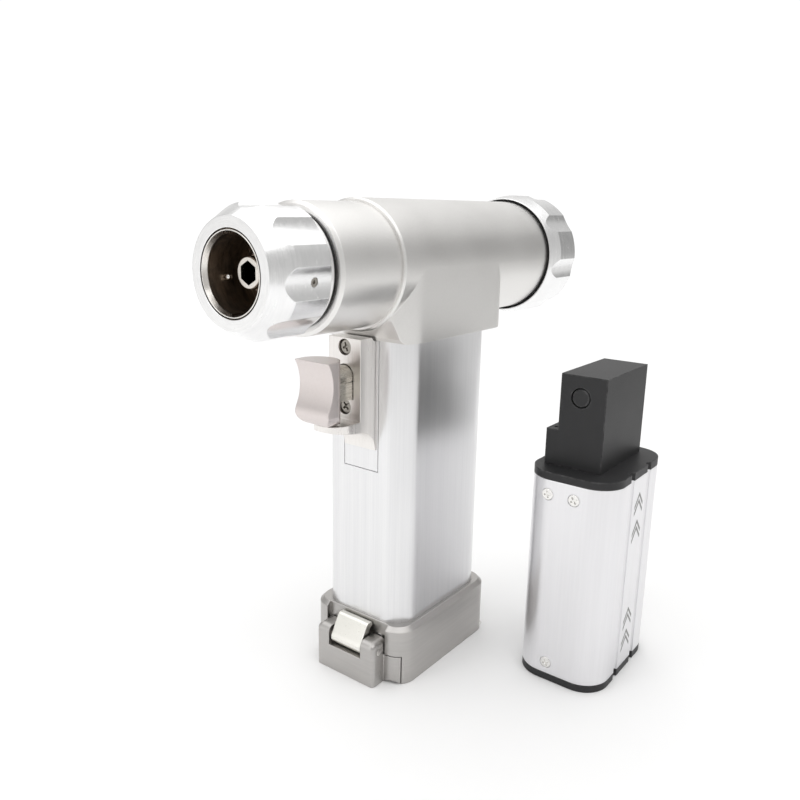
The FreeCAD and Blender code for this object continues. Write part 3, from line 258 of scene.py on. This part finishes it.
M["dark_screw"] = satin("dark_screw", (0.46, 0.44, 0.40), (0.24, 0.22, 0.20), 0.32, grain=2600.0, tint=0.08, bevel=0.0002)
M["bronze"] = satin("bronze", (0.80, 0.60, 0.33), (0.66, 0.47, 0.24), 0.32)
M["copper"] = satin("copper", (0.75, 0.38, 0.20), (0.50, 0.22, 0.11), 0.36, streak=(200, 1800, 1800))
M["magnet"] = satin("magnet", (0.62, 0.62, 0.64), (0.52, 0.52, 0.54), 0.24)
M["black_rubber"] = moulded("black_rubber", (0.012, 0.012, 0.012), (0.05, 0.05, 0.05), 0.62, scuff=0.2)
M["black_plastic"] = moulded("black_plastic", (0.022, 0.022, 0.023), (0.16, 0.16, 0.16), 0.46)
M["circuit_board"] = moulded("circuit_board", (0.02, 0.16, 0.07), (0.10, 0.30, 0.16), 0.3, scuff=0.2)
M["cell_wrap"] = moulded("cell_wrap", (0.05, 0.14, 0.32), (0.2, 0.3, 0.45), 0.3, scuff=0.2)
M["pack_aluminium"] = satin("pack_aluminium", (0.80, 0.795, 0.81), (0.76, 0.755, 0.77), 0.30, grain=1800.0, streak=(900, 900, 30), tint=0.03)

# coupling socket: bright lip in front, and behind it the bore painted dark brown as painted shade
k = Mat("socket_steel")
k.set(Metallic=1.0)
r, ang, x = turned_coords(k)
vec = k.mapped((1, 1, 1))
clouds = k.noise(vec, 260.0, 4.0, 0.6)
stain = k.noise(k.mapped((400, 120, 120)), 1.0, 3.0, 0.6)
# painted shade: the bore inside the lip is painted near-black brown, mottled by noise
painted_bore_shade = k.mix(k.remap(stain, 0.35, 0.65, 0.0, 1.0), (0.13, 0.105, 0.085), (0.30, 0.23, 0.17))
front = k.remap(x, 0.0864, 0.0867, 0.0, 1.0, True)
outer = k.remap(r, 0.01298, 0.01302, 1.0, 0.0)
lip = k.math("MULTIPLY", front, outer)
k.link(k.mix(lip, painted_bore_shade, k.mix(k.remap(clouds, 0.3, 0.7, 0.0, 1.0), (0.78, 0.75, 0.71), (0.88, 0.86, 0.83))), k.p.inputs["Base Color"])
k.link(k.math("ADD", k.remap(lip, 0.0, 1.0, 0.42, 0.20), k.remap(clouds, 0.3, 0.7, -0.04, 0.06)), k.p.inputs["Roughness"])
k.bump(clouds, 0.3, 0.00002, 0.0002)
M["socket_steel"] = k.m

# shaft end: bright rim, and painted shade near black deep inside the hexagon
k = Mat("shaft_steel")
k.set(Metallic=1.0)
r, ang, x = turned_coords(k)
clouds = k.noise(k.mapped((1, 1, 1)), 420.0, 4.0, 0.6)
deep = k.remap(x, 0.0790, 0.0809, 0.0, 1.0, True)
inside = k.math("SUBTRACT", 1.0, k.remap(r, 0.0042, 0.0046, 0.0, 1.0, True))
shade = k.math("MULTIPLY", inside, k.math("SUBTRACT", 1.0, deep))
# painted shade: deep inside the hexagon socket the colour goes near black
k.link(k.mix(shade, k.mix(k.remap(clouds, 0.3, 0.7, 0.0, 1.0), (0.70, 0.66, 0.61), (0.84, 0.80, 0.76)), (0.05, 0.045, 0.04)), k.p.inputs["Base Color"])
k.link(k.remap(clouds, 0.3, 0.7, 0.18, 0.30), k.p.inputs["Roughness"])
k.bump(clouds, 0.25, 0.00001, 0.0002)
M["shaft_steel"] = k.m
M["sleeve_satin"] = satin("sleeve_satin", (0.84, 0.83, 0.815), (0.80, 0.79, 0.775), 0.36)
M["collar_steel"] = satin("collar_steel", (0.50, 0.44, 0.39), (0.34, 0.29, 0.25), 0.34)

slots = {s["node"]: s["material_slot"] for s in frame["record"]["subparts"]}
special = {"front_sleeve": "sleeve_satin", "output_shaft": "shaft_steel", "drive_collar": "collar_steel", "latch_lever": "lever_nickel"}
for name, obj in nodes.items():
    mat = M[special.get(name, slots[name])]
    obj.data.materials.clear()
    obj.data.materials.append(mat)
    for poly in obj.data.polygons:
        poly.material_index = 0

# ---- stage -----------------------------------------------------------------

floor_mesh = bpy.data.meshes.new("floor")
bm = bmesh.new()
bmesh.ops.create_circle(bm, cap_ends=True, radius=0.62, segments=128)
bm.to_mesh(floor_mesh)
bm.free()
floor = bpy.data.objects.new("floor", floor_mesh)
scene.collection.objects.link(floor)
floor.location = (0.0, 0.0, -0.0001)
k = Mat("floor_paper")
k.set(Metallic=0.0, Specular_IOR_Level=0.15)
paper = k.noise(k.mapped((1, 1, 1)), 3.0, 2.0)
k.link(k.mix(paper, (0.94, 0.94, 0.94), (0.95, 0.95, 0.95)), k.p.inputs["Base Color"])
k.link(k.remap(paper, 0, 1, 0.8, 0.9), k.p.inputs["Roughness"])
floor_mesh.materials.append(k.m)

# White studio: camera rays see plain white; the metal sees soft greys that
# grow lighter upwards, with a light side in front, a light wall far behind
# and a small dark screen beside the rear end.
world = bpy.data.worlds.new("world")
scene.world = world
world.use_nodes = True
wt = world.node_tree
wt.nodes.clear()


def wn(kind, **props):
    node = wt.nodes.new(kind)
    for key, val in props.items():
        setattr(node, key, val)
    return node


tc = wn("ShaderNodeTexCoord")
sep = wn("ShaderNodeSeparateXYZ")
wt.links.new(tc.outputs["Generated"], sep.inputs[0])
mr = wn("ShaderNodeMapRange")
mr.inputs["From Min"].default_value = -1.0
mr.inputs["From Max"].default_value = 1.0
wt.links.new(sep.outputs[2], mr.inputs["Value"])
ramp = wn("ShaderNodeValToRGB")
wt.links.new(mr.outputs["Result"], ramp.inputs[0])
ramp.color_ramp.elements[0].position = 0.0
ramp.color_ramp.elements[0].color = (0.80, 0.80, 0.79, 1)
ramp.color_ramp.elements[1].position = 1.0
ramp.color_ramp.elements[1].color = (0.76, 0.76, 0.76, 1)
for pos, g in ((0.42, 0.78), (0.50, 0.66), (0.58, 0.60), (0.70, 0.56), (0.86, 0.74)):
    e = ramp.color_ramp.elements.new(pos)
    e.color = (g, g * 0.995, g * 0.985, 1)


def patch(direction, near, far, low, high):
    """A soft round patch of the room: low outside it, high at its middle."""
    d = wn("ShaderNodeVectorMath", operation="DOT_PRODUCT")
    wt.links.new(tc.outputs["Generated"], d.inputs[0])
    d.inputs[1].default_value = Vector(direction).normalized()
    k = wn("ShaderNodeMapRange")
    k.interpolation_type = "SMOOTHSTEP"
    k.inputs["From Min"].default_value = far
    k.inputs["From Max"].default_value = near
    k.inputs["To Min"].default_value = low
    k.inputs["To Max"].default_value = high
    wt.links.new(d.outputs["Value"], k.inputs["Value"])
    return k.outputs["Result"]


light_side = patch((0.77, -0.59, -0.15), 0.95, 0.72, 1.0, 1.35)
far_side = patch((-0.77, -0.60, 0.25), 0.97, 0.80, 1.0, 1.4)
dark_side = patch((-0.90, 0.39, 0.14), 0.985, 0.95, 1.0, 0.55)


def product(a, b):
    k = wn("ShaderNodeMath", operation="MULTIPLY")
    wt.links.new(a, k.inputs[0])
    wt.links.new(b, k.inputs[1])
    return k.outputs[0]


path = wn("ShaderNodeLightPath")
bg_room = wn("ShaderNodeBackground")
bg_white = wn("ShaderNodeBackground")
bg_white.inputs[0].default_value = (1.0, 1.0, 1.0, 1)
bg_white.inputs[1].default_value = 1.05
wt.links.new(product(product(light_side, far_side), dark_side), bg_room.inputs[1])
wt.links.new(ramp.outputs[0], bg_room.inputs[0])
mixer = wn("ShaderNodeMixShader")
wt.links.new(path.outputs["Is Camera Ray"], mixer.inputs[0])
wt.links.new(bg_room.outputs[0], mixer.inputs[1])
wt.links.new(bg_white.outputs[0], mixer.inputs[2])
wo = wn("ShaderNodeOutputWorld")
wt.links.new(mixer.outputs[0], wo.inputs[0])


def softbox(name, loc, target, size, power, color=(1, 1, 1)):
    light = bpy.data.lights.new(name, "AREA")
    light.shape = "RECTANGLE"
    light.size, light.size_y = size
    light.energy = power
    light.color = color
    o = bpy.data.objects.new(name, light)
    scene.collection.objects.link(o)
    o.location = loc
    o.rotation_mode = "QUATERNION"
    o.rotation_quaternion = (Vector(target) - Vector(loc)).to_track_quat("-Z", "Y")
    return o


softbox("top", (0.0, 0.1, 1.3), (0.0, 0.1, 0.0), (2.4, 2.4), 15.5)
softbox("left_strip", (0.9, -0.35, 0.45), (0.0, 0.0, 0.1), (0.35, 0.9), 1.0)

scene.view_settings.view_transform = "Standard"

# ---- printed insertion arrows on the pack ----------------------------------

lo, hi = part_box("pack_shell")
px, py = (lo[0] + hi[0]) / 2, hi[1]
bm = bmesh.new()


def bar(cx, cz, side, inset, rise=0.0048, run=0.0040, width=0.0009):
    """One slanted stroke of a chevron: from the tip down to the left or right."""
    x0, z0 = cx, cz - inset
    x1, z1 = cx + side * run, cz - inset - rise
    pts = [(x0, z0), (x1, z1), (x1, z1 - width * 1.5), (x0, z0 - width * 1.5)]
    if side > 0:
        pts.reverse()
    vs = [bm.verts.new((x, py + 0.00004, z)) for x, z in pts]
    back_vs = [bm.verts.new((x, py + 0.000004, z)) for x, z in pts]
    bm.faces.new(vs)
    bm.faces.new(list(reversed(back_vs)))
    for a in range(4):
        b2 = (a + 1) % 4
        bm.faces.new((vs[b2], vs[a], back_vs[a], back_vs[b2]))


base_z = lo[2]
for tip in (0.0727, 0.0616, 0.0245, 0.0150):
    for inset in (0.0, 0.0027):
        for side in (-1, 1):
            bar(px, base_z + tip, side, inset)
bmesh.ops.recalc_face_normals(bm, faces=bm.faces)
arrows_mesh = bpy.data.meshes.new("pack_arrows")
bm.to_mesh(arrows_mesh)
bm.free()
arrows = bpy.data.objects.new("pack_arrows", arrows_mesh)
scene.collection.objects.link(arrows)
k = Mat("printed_grey")
k.set(Metallic=0.0, Specular_IOR_Level=0.4)
ink = k.noise(k.mapped((1, 1, 1)), 900.0, 4.0, 0.7)
k.link(k.mix(ink, (0.16, 0.16, 0.16), (0.36, 0.36, 0.35)), k.p.inputs["Base Color"])
k.link(k.remap(ink, 0.3, 0.7, 0.4, 0.6), k.p.inputs["Roughness"])
arrows_mesh.materials.append(k.m)
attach(arrows, "pack")
